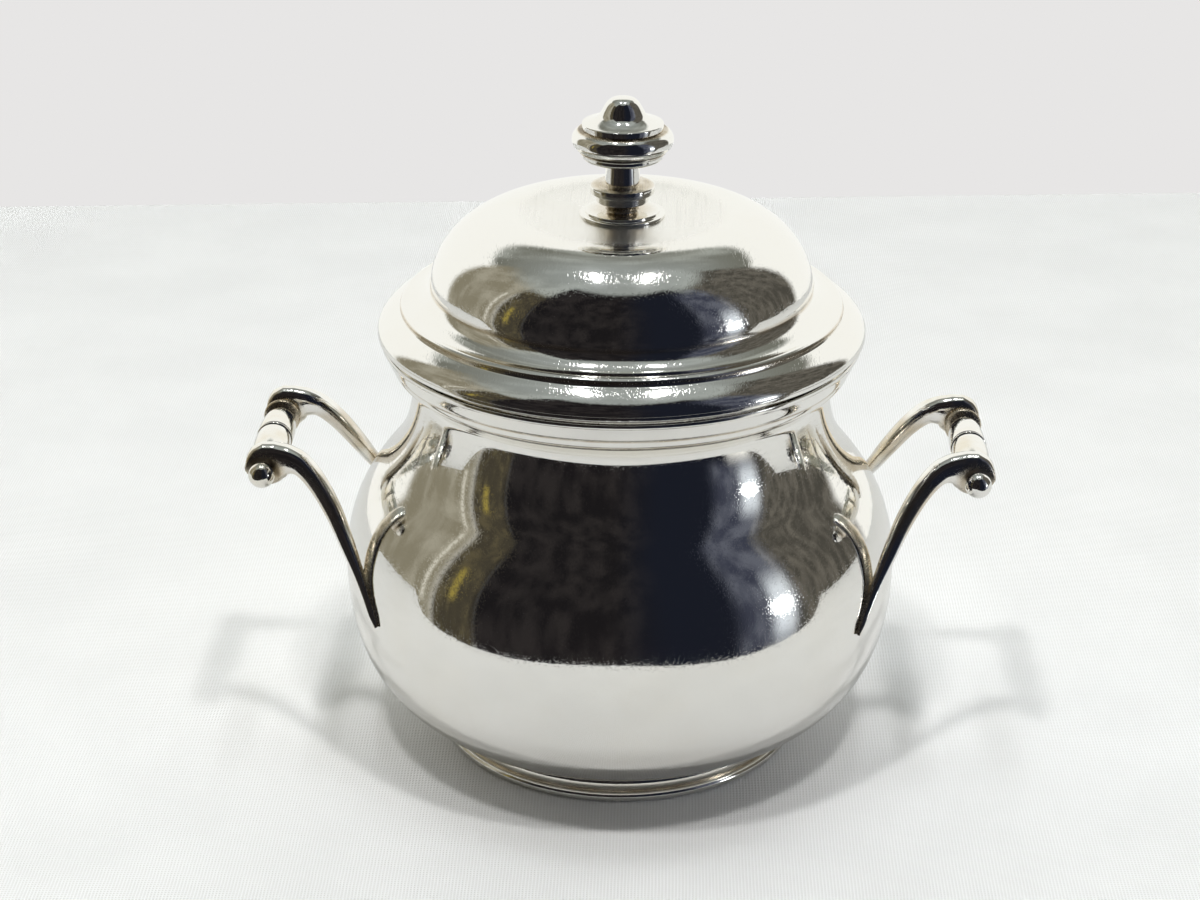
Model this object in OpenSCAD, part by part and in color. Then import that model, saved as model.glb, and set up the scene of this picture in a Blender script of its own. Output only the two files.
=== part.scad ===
// Covered sugar bowl: raised belly on a moulded foot, two strap handles with
// turned grips, and a lift-off domed lid with a turned finial.
// Millimetres, +Z up, origin at the centre of the foot on the table.

/* [Bowl] */
// Greatest radius of the belly
belly_r = 55.2; // [50:0.1:60]
// Height of the belly's greatest radius
belly_z = 37; // [33:0.5:41]
// Outer radius of the neck at its narrowest
neck_r = 41.1; // [40:0.1:42]
// Height of the narrowest part of the neck
neck_z = 74.6; // [73:0.1:76]
// Outer radius of the collar above the neck, inside the moulding
collar_r = 44.2; // [43.5:0.1:44.8]
// Height of the mouth's top face
mouth_z = 85.9; // [84:0.1:88]
// Thickness of the bowl's sheet
bowl_wall = 0.9; // [0.8:0.1:1.4]
// Outer height of the bowl's floor above the table
floor_z = 2.6; // [2.2:0.1:3]

/* [Foot] */
// Radius at which the foot ring meets the belly
foot_join_r = 31.2; // [30:0.1:33]
// Outer radius of the foot's lower edge
foot_r = 36.1; // [35:0.1:38]
// Radius of the half-round wire along the foot's edge
foot_wire_r = 1; // [0.8:0.1:1.3]

/* [Mouth moulding] */
// Outer radius of the moulding
moulding_r = 46.9; // [46.5:0.1:47.3]
// Height of the moulding
moulding_h = 6.7; // [6:0.1:7]

/* [Lid] */
// Outer radius of the lid's brim
brim_r = 47.5; // [46:0.1:49]
// Radius of the lid's dome at its foot
dome_r = 37; // [36:0.1:38]
// Height of the dome's top above the table
dome_z = 109; // [107:0.1:110]
// Thickness of the lid's sheet
lid_wall = 0.8; // [0.7:0.1:1.1]
// Clearance between the lid and the mouth
lid_gap = 0.1; // [0.05:0.05:0.3]
// Radial clearance of the lid's inner flange in the mouth
flange_gap = 0.5; // [0.3:0.1:1]
// Depth of the lid's inner flange below the mouth
flange_depth = 5; // [4:0.1:5.5]

/* [Finial] */
// Radius of the plate under the finial
plate_r = 8.25; // [7:0.05:9]
// Greatest radius of the finial's knob
knob_r = 9.7; // [8:0.1:11]
// Height of the whole object
total_h = 132.2; // [130:0.1:134]
// Radius of the threaded stud that holds the finial
stud_r = 1.5; // [1.2:0.1:1.8]

/* [Handles] */
// Distance from the bowl's axis to each grip's axis
grip_x = 69.3; // [68:0.1:71]
// Height of each grip's axis
grip_z = 60.9; // [59:0.1:62]
// Half the distance between the two arms' inner faces
grip_half = 11.8; // [10:0.1:13]
// Depth of an arm's strap from front to back at the grip
arm_depth = 4.8; // [4:0.1:5.5]
// Greatest radius of the grip's barrels
barrel_r = 3.5; // [3:0.1:3.8]
// Radius of the ball at each end of a grip
ball_r = 2.6; // [2:0.1:3]

/* [Hidden] */
$fn = 96;

silver = [0.84, 0.83, 0.80];
gilt_grey = [0.72, 0.69, 0.62];

mouth_r = collar_r - bowl_wall;
seat_z = mouth_z + lid_gap;
band_h = 0.8;
arm_face_y = grip_half + arm_depth;
solder = 0.1;

// --- curves ---------------------------------------------------------------

// A point on a cubic Bezier curve, and the curve as a list of points.
function bezier_at(p, t) = pow(1 - t, 3) * p[0] + 3 * pow(1 - t, 2) * t * p[1]
    + 3 * (1 - t) * t * t * p[2] + pow(t, 3) * p[3];
function bezier(p, steps, first = 0) =
    [for (i = [first:steps]) bezier_at(p, i / steps)];

// The unit normal on the left of the path at each of its points.
function unit(v) = v / norm(v);
function normal_at(path, i) = let (
        a = path[max(i - 1, 0)], b = path[min(i + 1, len(path) - 1)], d = unit(b - a))
    [-d[1], d[0]];
function offset_path(path, distance) =
    [for (i = [0:len(path) - 1]) path[i] + distance * normal_at(path, i)];
function reversed(path) = [for (i = [len(path) - 1:-1:0]) path[i]];

// An arc of a circle in the profile plane.
function arc(centre, radius, from, to, steps) =
    [for (i = [0:steps]) let (a = from + (to - from) * i / steps)
        centre + radius * [cos(a), sin(a)]];

// Catmull-Rom interpolation along a list of stations.
function station_at(s, i, t) = let (
        n = len(s) - 1,
        a = s[max(i - 1, 0)], b = s[i], c = s[min(i + 1, n)], d = s[min(i + 2, n)])
    0.5 * (2 * b + (c - a) * t + (2 * a - 5 * b + 4 * c - d) * t * t
        + (3 * b - a - 3 * c + d) * t * t * t);

// --- bowl -----------------------------------------------------------------

shoulder = [46, 59.9];
shoulder_dir = [-0.62, 0.78];
// Outer surface from the edge of the floor up to the neck.
bowl_outer = concat(
    bezier([[foot_join_r, 3.2], [belly_r - 12.2, 7.6], [belly_r, 13], [belly_r, belly_z]], 14),
    bezier([[belly_r, belly_z], [belly_r, 50.2], shoulder - 3.4 * shoulder_dir, shoulder], 10, 1),
    bezier([shoulder, shoulder + 6.4 * shoulder_dir, [neck_r, neck_z - 4.4], [neck_r, neck_z]], 10, 1),
    bezier([[neck_r, neck_z], [neck_r, neck_z + 2], [neck_r + 1.3, neck_z + 3.6],
        [collar_r, mouth_z - moulding_h]], 6, 1));

module bowl() {
    inner = offset_path(bowl_outer, bowl_wall);
    inner_floor = floor_z + bowl_wall;
    color(silver) rotate_extrude() polygon(concat(
        [[0, floor_z], [foot_join_r - 4, floor_z]], bowl_outer, [[collar_r, mouth_z], [mouth_r, mouth_z],
            [mouth_r, mouth_z - moulding_h + 0.9]],
        reversed([for (p = inner) if (p[1] > inner_floor + 0.3 && p[1] < mouth_z - moulding_h + 0.4) p]),
        [[foot_join_r - 3, inner_floor], [0, inner_floor]]));
}

// Moulded strip round the mouth: a flared band with a step, and the lid's seat on top.
module mouth_moulding() {
    base_z = mouth_z - moulding_h;
    edge_z = mouth_z - 0.9;
    color(silver) rotate_extrude() polygon(concat(
        bezier([[collar_r, base_z], [collar_r + 0.5, base_z + 0.2], [collar_r + 0.8, base_z + 0.9],
            [collar_r + 0.9, base_z + 1.7]], 4),
        [[collar_r + 1.15, base_z + 1.9]],
        bezier([[collar_r + 1.4, base_z + 2.1], [collar_r + 1.7, base_z + 3.2],
            [moulding_r - 0.5, base_z + 3.9],
            [moulding_r - 0.25, base_z + 4.7]], 6),
        [[moulding_r, base_z + 5.1], [moulding_r, edge_z - 0.1], [moulding_r - 0.2, edge_z],
            [moulding_r - 1.4, edge_z], [moulding_r - 1.5, mouth_z], [collar_r, mouth_z]]));
}

// --- foot -----------------------------------------------------------------

module foot_ring() {
    top_z = 4.2;
    color(silver) rotate_extrude() polygon(concat(
        bezier([[foot_join_r - 1, 3.1], [foot_join_r + 0.6, 2.9], [foot_join_r + 1.8, 2.1],
            [foot_join_r + 2, 0.8]], 6),
        [[foot_join_r + 2, 0], [foot_r - 0.2, 0], [foot_r - 0.2, 2 * foot_wire_r]],
        bezier([[foot_r - 0.5, 2 * foot_wire_r], [foot_r - 1.6, 2.3], [foot_r - 2.4, top_z - 0.9],
            [foot_r - 2.2, top_z]], 6)));
}

module foot_wire() {
    color(silver) rotate_extrude() intersection() {
        translate([foot_r - 0.2, foot_wire_r]) circle(r = foot_wire_r, $fn = 32);
        translate([foot_r - 0.2, 0]) square([2 * foot_wire_r, 2 * foot_wire_r]);
    }
}

// --- handles --------------------------------------------------------------

// Stations along an arm from its round end at the grip to its pointed foot on the
// belly: distance out, height, distance from the middle plane, half width across
// the strap and half depth.
arm_mid_y = grip_half + arm_depth / 2;
half_d = arm_depth / 2;
ARM = [
    [72.7, 61.4, arm_mid_y, 0.7, half_d - 0.2],
    [72.0, 61.5, arm_mid_y, 2.4, half_d],
    [70.6, 61.7, arm_mid_y, 3.75, half_d],
    [68.5, 62.0, arm_mid_y, 4.3, half_d],
    [66.3, 62.6, arm_mid_y, 3.7, half_d],
    [64.1, 62.8, arm_mid_y + 0.2, 2.7, half_d],
    [61.6, 61.8, arm_mid_y + 0.7, 2.1, half_d],
    [58.6, 58.5, arm_mid_y + 1.9, 1.85, half_d - 0.1],
    [55.4, 53.4, arm_mid_y + 4, 1.65, half_d - 0.2],
    [52.7, 48.0, arm_mid_y + 6.9, 1.4, half_d - 0.5],
    [50.4, 43.4, arm_mid_y + 9.8, 1.05, half_d - 0.9],
    [48.7, 39.8, arm_mid_y + 12.5, 0.85, half_d - 1.2],
    [47.4, 36.8, arm_mid_y + 14.5, 0.8, half_d - 1.3],
    [46.6, 34.6, arm_mid_y + 15.7, 0.4, half_d - 1.8]];
ARM_STEPS = 3;
SECTION_SIDES = 16;
SECTION_POWER = 0.62;

// A rounded rectangle of half width a along n and half depth b along Y.
function signed_pow(v, e) = sign(v) * pow(abs(v), e);
function arm_section(s, dir) = let (n = [-dir[1], dir[0]])
    [for (k = [0:SECTION_SIDES - 1]) let (
            a = (k + 0.5) * 360 / SECTION_SIDES,
            u = s[3] * signed_pow(cos(a), SECTION_POWER),
            v = s[4] * signed_pow(sin(a), SECTION_POWER))
        [s[0] + n[0] * u, s[2] + v, s[1] + n[1] * u]];
arm_rows = [for (i = [0:len(ARM) - 2], j = [0:ARM_STEPS - 1]) station_at(ARM, i, j / ARM_STEPS)];
arm_line = concat(arm_rows, [ARM[len(ARM) - 1]]);

module arm() {
    m = SECTION_SIDES;
    rows = len(arm_line);
    points = [for (i = [0:rows - 1]) let (
            a = arm_line[max(i - 1, 0)], b = arm_line[min(i + 1, rows - 1)],
            d = unit([b[0] - a[0], b[1] - a[1]]))
        each arm_section(arm_line[i], d)];
    sides = [for (i = [0:rows - 2], k = [0:m - 1]) let (k2 = (k + 1) % m)
        each [[i * m + k, i * m + k2, (i + 1) * m + k2], [i * m + k, (i + 1) * m + k2, (i + 1) * m + k]]];
    ends = [[for (k = [m - 1:-1:0]) k], [for (k = [0:m - 1]) (rows - 1) * m + k]];
    polyhedron(points, concat(sides, ends));
}

// Barrel and end collar of one half of the grip, along +Z from the bead round its middle.
module grip_half_profile() {
    rotate_extrude() polygon(concat(
        [[0, 0], [barrel_r + 0.1, 0], [barrel_r + 0.05, 0.25], [barrel_r - 0.35, 0.45]],
        bezier([[barrel_r - 0.05, 0.8], [barrel_r + 0.15, 3], [barrel_r + 0.05, 6.5],
            [barrel_r - 0.6, grip_half - 1.9]], 8),
        [[barrel_r - 0.8, grip_half - 1.4]],
        arc([barrel_r - 0.5, grip_half - 0.7], 0.75, -50, 80, 5),
        [[barrel_r - 0.5, grip_half + solder], [0, grip_half + solder]]));
}

module grip() {
    translate([grip_x, 0, grip_z]) rotate([90, 0, 0]) {
        grip_half_profile();
        mirror([0, 0, 1]) grip_half_profile();
    }
}

// Ball end of the grip, standing on the outer face of the arm.
module ball() {
    stand_off = 0.85;
    foot_angle = asin((stand_off + solder) / ball_r);
    translate([grip_x, arm_face_y, grip_z]) rotate([-90, 0, 0]) rotate_extrude() polygon(concat(
        [[0, -solder]],
        arc([0, stand_off], ball_r, -foot_angle, 90, 16)));
}

module on_side(side) { if (side < 0) mirror([1, 0, 0]) children(); else children(); }
module at_front() { mirror([0, 1, 0]) children(); }

module left_front_arm() { color(gilt_grey) on_side(-1) at_front() arm(); }
module left_back_arm() { color(gilt_grey) on_side(-1) arm(); }
module left_grip() { color(silver) on_side(-1) grip(); }
module left_front_ball() { color(silver) on_side(-1) at_front() ball(); }
module left_back_ball() { color(silver) on_side(-1) ball(); }
module right_front_arm() { color(gilt_grey) on_side(1) at_front() arm(); }
module right_back_arm() { color(gilt_grey) on_side(1) arm(); }
module right_grip() { color(silver) on_side(1) grip(); }
module right_front_ball() { color(silver) on_side(1) at_front() ball(); }
module right_back_ball() { color(silver) on_side(1) ball(); }

// --- lid ------------------------------------------------------------------

brim_z = seat_z + band_h;
step_r = brim_r - 4.3;
crease = [dome_r, dome_z - 13.8];
wall_top = dome_z - 12.2;
flat_r = plate_r + 0.4;

// The dome from the top of its upright wall to the flat under the finial plate, moved in by a thickness.
shoulder_end_r = 18;
function dome_curve(in) = concat(
    bezier([[dome_r - in, wall_top - 0.2 * in], [dome_r - 1.6 - in, wall_top + 8.4],
        [dome_r - 10.2 - 0.6 * in, dome_z + 1.7 - in], [shoulder_end_r, dome_z + 0.5 - in]], 16),
    bezier([[shoulder_end_r, dome_z + 0.5 - in], [shoulder_end_r - 3, dome_z + 0.1 - in],
        [flat_r + 2, dome_z - in], [flat_r, dome_z - in]], 4, 1));
lid_outer = concat(
    bezier([[brim_r, brim_z], [brim_r, brim_z + 1.1], [brim_r - 1.5, brim_z + 2.8],
        [step_r, brim_z + 4.1]], 10),
    [[step_r - 0.15, brim_z + 4.65]],
    bezier([[step_r - 0.2, brim_z + 4.8], [step_r - 0.4, brim_z + 5.3], [step_r - 0.9, brim_z + 5.45],
        [step_r - 1.4, brim_z + 5.45]], 4),
    bezier([[step_r - 1.4, brim_z + 5.45], [step_r - 3, brim_z + 5.5],
        [crease[0] + 0.9, crease[1] - 2.1], crease],
        8, 1),
    dome_curve(0));
lid_inner = concat(
    bezier([[brim_r - lid_wall, brim_z], [brim_r - lid_wall, brim_z + 0.8], [brim_r - 2.2, brim_z + 2.1],
        [step_r - 0.5, brim_z + 3.3]], 8),
    bezier([[step_r - 1, brim_z + 4], [step_r - 2.6, brim_z + 4.6], [crease[0] + 0.3, crease[1] - 3],
        [crease[0] - lid_wall, crease[1] - 0.3 * lid_wall]], 8),
    dome_curve(lid_wall));

module lid() {
    color(silver) rotate_extrude() polygon(concat(
        lid_outer, [[stud_r, dome_z], [stud_r, dome_z - lid_wall]], reversed(lid_inner)));
}

// Flat band under the brim: it stiffens the edge and sits on the mouth.
module lid_edge_band() {
    color(silver) translate([0, 0, seat_z]) difference() {
        cylinder(r = brim_r, h = band_h);
        translate([0, 0, -1]) cylinder(r = mouth_r - flange_gap, h = band_h + 2);
    }
}

// Cylindrical flange that drops into the neck and keeps the lid centred.
module lid_flange() {
    outer = mouth_r - flange_gap;
    color(silver) rotate_extrude() intersection() {
        translate([outer - lid_wall, mouth_z - flange_depth]) square([lid_wall, 20]);
        polygon(concat([[0, brim_z - 20], [brim_r - lid_wall, brim_z - 20]], lid_inner,
            [[0, dome_z - lid_wall]]));
    }
}

// --- finial ---------------------------------------------------------------

plate_top = dome_z + 1.1;
stem_top = total_h - 12.3;
knob_z = stem_top + 2;

module finial_plate() {
    color(silver) rotate_extrude() polygon([
        [stud_r, dome_z], [plate_r, dome_z], [plate_r, dome_z + 0.35], [plate_r - 0.25, dome_z + 0.55],
        [plate_r - 1.1, dome_z + 0.55], [plate_r - 1.1, plate_top - 0.15], [plate_r - 1.4, plate_top],
        [stud_r, plate_top]]);
}

module finial_stem() {
    tier_r = 5.1;
    tier_z = plate_top + 1.7;
    ring_r = 6.2;
    ring_z = plate_top + 3.4;
    color(silver) rotate_extrude() polygon(concat(
        [[stud_r, plate_top], [3.3, plate_top]],
        bezier([[3.2, plate_top + 0.2], [2.8, plate_top + 0.5], [2.9, plate_top + 1],
            [3.4, plate_top + 1.4]], 4),
        [[3.7, tier_z - 0.1], [tier_r - 0.4, tier_z], [tier_r, tier_z + 0.4], [tier_r, ring_z - 0.1],
            [ring_r - 0.25, ring_z], [ring_r, ring_z + 0.25], [ring_r, ring_z + 1.2],
            [ring_r - 0.4, ring_z + 1.6], [ring_r - 1, ring_z + 1.7], [4.4, ring_z + 1.8]],
        bezier([[3.4, ring_z + 2.1], [3.3, ring_z + 3.2], [3.3, ring_z + 4.4], [3, stem_top]], 7),
        [[stud_r, stem_top]]));
}

// Saucer that closes the hollow knob from below.
module finial_knob_base() {
    saucer_r = knob_r - 1.9;
    lip_r = knob_r - 1.4;
    color(silver) rotate_extrude() polygon(concat(
        [[stud_r, stem_top], [4.5, stem_top]],
        bezier([[5, stem_top], [7, stem_top + 0.1], [saucer_r - 0.2, stem_top + 0.4],
            [saucer_r, stem_top + 0.9]], 5),
        [[saucer_r, stem_top + 1.5], [lip_r, stem_top + 1.7], [lip_r, knob_z], [stud_r, knob_z]]));
}

// Cast knob: a torus, a disc and a bullet-shaped top with a blind hole for the stud.
module finial_knob() {
    disc_r = knob_r - 1.95;
    disc_z = knob_z + 4.2;
    disc_top = disc_z + 1.15;
    bullet_r = 4.3;
    bullet_z = disc_top + 1.75;
    color(silver) difference() {
        rotate_extrude() polygon(concat(
            [[0, knob_z], [knob_r - 1.4, knob_z]],
            arc([knob_r - 2.1, knob_z + 2.1], 2.1, -80, 70, 10),
            [[disc_r, disc_z], [disc_r, disc_top - 0.2], [disc_r - 0.15, disc_top]],
            bezier([[disc_r - 0.4, disc_top + 0.1], [6.2, disc_top + 0.4], [4.9, disc_top + 0.85],
                [bullet_r, bullet_z]], 6),
            bezier([[bullet_r, bullet_z], [3.65, bullet_z + 1], [3.3, total_h - 1],
                [2.3, total_h - 0.4]], 5, 1),
            bezier([[2.3, total_h - 0.4], [1.7, total_h - 0.1], [0.9, total_h], [0, total_h]], 4, 1)));
        translate([0, 0, knob_z - 1]) cylinder(r = stud_r, h = 4);
    }
}

module finial_stud() {
    color(gilt_grey) translate([0, 0, dome_z - lid_wall - 6])
        cylinder(r = stud_r, h = knob_z + 3 - dome_z + lid_wall + 6);
}

module finial_washer() {
    color(gilt_grey) translate([0, 0, dome_z - lid_wall - 0.8]) difference() {
        cylinder(r = 5, h = 0.8);
        translate([0, 0, -1]) cylinder(r = stud_r, h = 3);
    }
}

module finial_nut() {
    nut_h = 3;
    color(gilt_grey) translate([0, 0, dome_z - lid_wall - 0.8 - nut_h]) difference() {
        cylinder(r = 3.6, h = nut_h, $fn = 6);
        translate([0, 0, -1]) cylinder(r = stud_r, h = nut_h + 2);
    }
}

bowl();
mouth_moulding();
foot_ring();
foot_wire();
left_front_arm();
left_back_arm();
left_grip();
left_front_ball();
left_back_ball();
right_front_arm();
right_back_arm();
right_grip();
right_front_ball();
right_back_ball();
lid();
lid_edge_band();
lid_flange();
finial_plate();
finial_stem();
finial_knob_base();
finial_knob();
finial_stud();
finial_washer();
finial_nut();
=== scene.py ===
"""Looks of the covered sugar bowl: turned and lofted silver pieces, their finish, and a small studio.

Outlines are in millimetres in the plane (radius, height); meshes are in metres, in the CAD frame.
"""
import math

import bpy
from mathutils import Matrix, Vector


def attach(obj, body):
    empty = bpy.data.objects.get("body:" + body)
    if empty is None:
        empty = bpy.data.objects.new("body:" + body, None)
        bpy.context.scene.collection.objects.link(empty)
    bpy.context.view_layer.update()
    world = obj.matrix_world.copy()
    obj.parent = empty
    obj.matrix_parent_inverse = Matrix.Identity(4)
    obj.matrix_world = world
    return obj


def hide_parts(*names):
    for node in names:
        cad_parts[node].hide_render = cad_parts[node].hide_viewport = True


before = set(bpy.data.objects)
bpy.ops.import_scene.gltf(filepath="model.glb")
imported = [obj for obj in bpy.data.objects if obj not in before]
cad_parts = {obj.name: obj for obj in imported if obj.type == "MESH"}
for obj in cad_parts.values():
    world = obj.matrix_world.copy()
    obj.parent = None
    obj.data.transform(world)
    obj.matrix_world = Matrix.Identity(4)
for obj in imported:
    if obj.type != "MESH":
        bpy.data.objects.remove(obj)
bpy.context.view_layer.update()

MM = 0.001
AROUND = 256
FINIAL_AROUND = 128
GRIP_AROUND = 96
BALL_AROUND = 64
SHARP_ANGLE = 35


# --- camera -----------------------------------------------------------------

CAMERA_PLACE = Vector((7.4, -460.4, 264.5)) * MM
CAMERA_YAW = math.radians(-1.43)
CAMERA_PITCH = math.radians(24.01)
CAMERA_ROLL = math.radians(0.22)
CAMERA_LENS = 75.64


def make_camera():
    ahead = Vector((math.sin(CAMERA_YAW) * math.cos(CAMERA_PITCH),
                    math.cos(CAMERA_YAW) * math.cos(CAMERA_PITCH),
                    -math.sin(CAMERA_PITCH)))
    right = Vector((math.cos(CAMERA_YAW), -math.sin(CAMERA_YAW), 0))
    up = right.cross(ahead)
    turned_right = right * math.cos(CAMERA_ROLL) + up * math.sin(CAMERA_ROLL)
    turned_up = up * math.cos(CAMERA_ROLL) - right * math.sin(CAMERA_ROLL)
    data = bpy.data.cameras.new("camera")
    data.lens = CAMERA_LENS
    data.sensor_width = 36
    data.clip_start = 0.01
    camera = bpy.data.objects.new("camera", data)
    camera.matrix_world = Matrix((
        (turned_right.x, turned_up.x, -ahead.x, CAMERA_PLACE.x),
        (turned_right.y, turned_up.y, -ahead.y, CAMERA_PLACE.y),
        (turned_right.z, turned_up.z, -ahead.z, CAMERA_PLACE.z),
        (0, 0, 0, 1)))
    bpy.context.scene.collection.objects.link(camera)
    bpy.context.scene.camera = camera


make_camera()


# --- node helpers -----------------------------------------------------------

class Nodes:
    """Short calls for building a node tree."""

    def __init__(self, tree):
        self.tree = tree
        tree.nodes.clear()

    def add(self, kind, **values):
        node = self.tree.nodes.new(kind)
        for key, value in values.items():
            setattr(node, key, value)
        return node

    def link(self, source, target):
        self.tree.links.new(source, target)

    def feed(self, socket, value):
        if isinstance(value, bpy.types.NodeSocket):
            self.link(value, socket)
        else:
            socket.default_value = value

    def math(self, operation, a, b=0.0, clamp=False):
        node = self.add("ShaderNodeMath", operation=operation, use_clamp=clamp)
        self.feed(node.inputs[0], a)
        self.feed(node.inputs[1], b)
        return node.outputs[0]

    def ramp(self, value, low, high, out_low=0.0, out_high=1.0):
        node = self.add("ShaderNodeMapRange", interpolation_type="SMOOTHSTEP")
        self.feed(node.inputs["Value"], value)
        node.inputs["From Min"].default_value = low
        node.inputs["From Max"].default_value = high
        node.inputs["To Min"].default_value = out_low
        node.inputs["To Max"].default_value = out_high
        return node.outputs["Result"]

    def mix(self, factor, a, b):
        node = self.add("ShaderNodeMix", data_type="RGBA")
        self.feed(node.inputs["Factor"], factor)
        self.feed(node.inputs["A"], colour(a))
        self.feed(node.inputs["B"], colour(b))
        return node.outputs["Result"]

    def mapped(self, vector, scale, turn=(0, 0, 0)):
        node = self.add("ShaderNodeMapping")
        self.feed(node.inputs["Vector"], vector)
        node.inputs["Rotation"].default_value = turn
        node.inputs["Scale"].default_value = scale
        return node.outputs["Vector"]

    def noise(self, vector, scale, detail=2.0, roughness=0.5):
        node = self.add("ShaderNodeTexNoise")
        self.feed(node.inputs["Vector"], vector)
        node.inputs["Scale"].default_value = scale
        node.inputs["Detail"].default_value = detail
        node.inputs["Roughness"].default_value = roughness
        return node.outputs["Fac"]


def colour(value):
    """A three-number colour with its alpha, or a socket as it is."""
    if isinstance(value, bpy.types.NodeSocket):
        return value
    return (value[0], value[1], value[2], 1.0)


# --- silver -----------------------------------------------------------------

SILVER = (0.93, 0.915, 0.875)
WARM_TARNISH = (0.50, 0.36, 0.16)
DARK_TARNISH = (0.10, 0.075, 0.045)
PALE_FILM = (0.86, 0.80, 0.68)
HANDLE_FILM = (0.80, 0.70, 0.50)
HAIRLINE_TURNS = ((0.3, 0.9, 0.2), (1.2, 0.1, 1.9), (2.2, 1.4, 0.7), (0.8, 2.4, 1.1))
DULL_R = 0.0185
DULL_EDGE = 1.25
DULL_ROUGHNESS = 0.24


def fine_scratches(n, place, turns, stretch=60.0, scale=38.0):
    """Thin hairlines in a few directions: stretched noise, kept only where it is near its peak."""
    total = None
    for turn in turns:
        lines = n.noise(n.mapped(place, (stretch, 1.0, stretch), turn), scale, 1.0)
        thin = n.ramp(lines, 0.62, 0.72)
        total = thin if total is None else n.math("MAXIMUM", total, thin)
    return total


def silver(name, roughness, scratch_depth=0.25, tarnish=0.15, haze=0.03, pits=True, dull_r=None,
           film=PALE_FILM):
    """Polished silver: hairlines, faint haze, small pits, and tarnish where the piece's mask says so.

    dull_r is the radius about the Z axis, in metres, within which the polish is duller. film is the
    colour of a thin tarnish all over.
    """
    material = bpy.data.materials.new(name)
    material.use_nodes = True
    n = Nodes(material.node_tree)
    place = n.add("ShaderNodeTexCoord").outputs["Object"]
    crevice = n.add("ShaderNodeAttribute", attribute_name="crevice").outputs["Fac"]

    cloudy = n.noise(place, 45.0, 4.0, 0.6)
    blotch = n.noise(place, 160.0, 3.0, 0.55)
    scratches = fine_scratches(n, place, HAIRLINE_TURNS)

    warm_mask = n.math("MULTIPLY", crevice, n.ramp(blotch, 0.30, 0.62, 0.45, 1.0))
    film_mask = n.math("MULTIPLY", n.ramp(cloudy, 0.45, 0.75), tarnish)
    dark_mask = n.math("MULTIPLY", n.ramp(crevice, 0.70, 1.0), n.ramp(blotch, 0.45, 0.60, 0.2, 0.95))
    base = n.mix(film_mask, SILVER, film)
    base = n.mix(n.math("MULTIPLY", warm_mask, 0.75), base, WARM_TARNISH)
    base = n.mix(n.math("MULTIPLY", dark_mask, 0.8), base, DARK_TARNISH)

    rough = n.math("ADD", roughness, n.math("MULTIPLY", n.ramp(cloudy, 0.42, 0.80), haze))
    rough = n.math("ADD", rough, n.math("MULTIPLY", scratches, 0.07))
    rough = n.math("ADD", rough, n.math("MULTIPLY", crevice, 0.22))
    if dull_r:
        outward = n.add("ShaderNodeVectorMath", operation="LENGTH")
        n.link(n.mapped(place, (1, 1, 0)), outward.inputs[0])
        dull = n.ramp(outward.outputs["Value"], dull_r, dull_r * DULL_EDGE, DULL_ROUGHNESS, 0.0)
        rough = n.math("ADD", rough, dull)

    waves = n.noise(place, 55.0, 1.0)
    wave_bump = n.add("ShaderNodeBump")
    wave_bump.inputs["Strength"].default_value = 0.05
    wave_bump.inputs["Distance"].default_value = 0.0012
    n.link(waves, wave_bump.inputs["Height"])
    line_bump = n.add("ShaderNodeBump")
    line_bump.inputs["Strength"].default_value = scratch_depth
    line_bump.inputs["Distance"].default_value = 0.00001
    n.link(scratches, line_bump.inputs["Height"])
    n.link(wave_bump.outputs["Normal"], line_bump.inputs["Normal"])
    normal = line_bump.outputs["Normal"]

    if pits:
        cells = n.add("ShaderNodeTexVoronoi", feature="F1")
        n.link(place, cells.inputs["Vector"])
        cells.inputs["Scale"].default_value = 130.0
        spot = n.ramp(cells.outputs["Distance"], 0.018, 0.05, 1.0, 0.0)
        seldom = n.ramp(n.noise(place, 23.0), 0.60, 0.64)
        spot = n.math("MULTIPLY", spot, seldom)
        base = n.mix(n.math("MULTIPLY", spot, 0.85), base, DARK_TARNISH)
        rough = n.math("ADD", rough, n.math("MULTIPLY", spot, 0.3))

    shader = n.add("ShaderNodeBsdfPrincipled")
    shader.inputs["Metallic"].default_value = 1.0
    n.link(base, shader.inputs["Base Color"])
    n.link(rough, shader.inputs["Roughness"])
    n.link(normal, shader.inputs["Normal"])
    out = n.add("ShaderNodeOutputMaterial")
    n.link(shader.outputs["BSDF"], out.inputs["Surface"])
    return material


def brass(name):
    """Dull yellow metal of the hidden fixing."""
    material = bpy.data.materials.new(name)
    material.use_nodes = True
    n = Nodes(material.node_tree)
    place = n.add("ShaderNodeTexCoord").outputs["Object"]
    cloudy = n.noise(place, 300.0, 5.0, 0.6)
    fine = n.noise(place, 2500.0, 3.0)
    base = n.mix(n.ramp(cloudy, 0.35, 0.7), (0.62, 0.47, 0.22), (0.42, 0.29, 0.12))
    bump = n.add("ShaderNodeBump")
    bump.inputs["Strength"].default_value = 0.3
    bump.inputs["Distance"].default_value = 0.00003
    n.link(fine, bump.inputs["Height"])
    shader = n.add("ShaderNodeBsdfPrincipled")
    shader.inputs["Metallic"].default_value = 1.0
    n.link(base, shader.inputs["Base Color"])
    n.link(n.ramp(cloudy, 0.3, 0.8, 0.28, 0.5), shader.inputs["Roughness"])
    n.link(bump.outputs["Normal"], shader.inputs["Normal"])
    out = n.add("ShaderNodeOutputMaterial")
    n.link(shader.outputs["BSDF"], out.inputs["Surface"])
    return material


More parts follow.
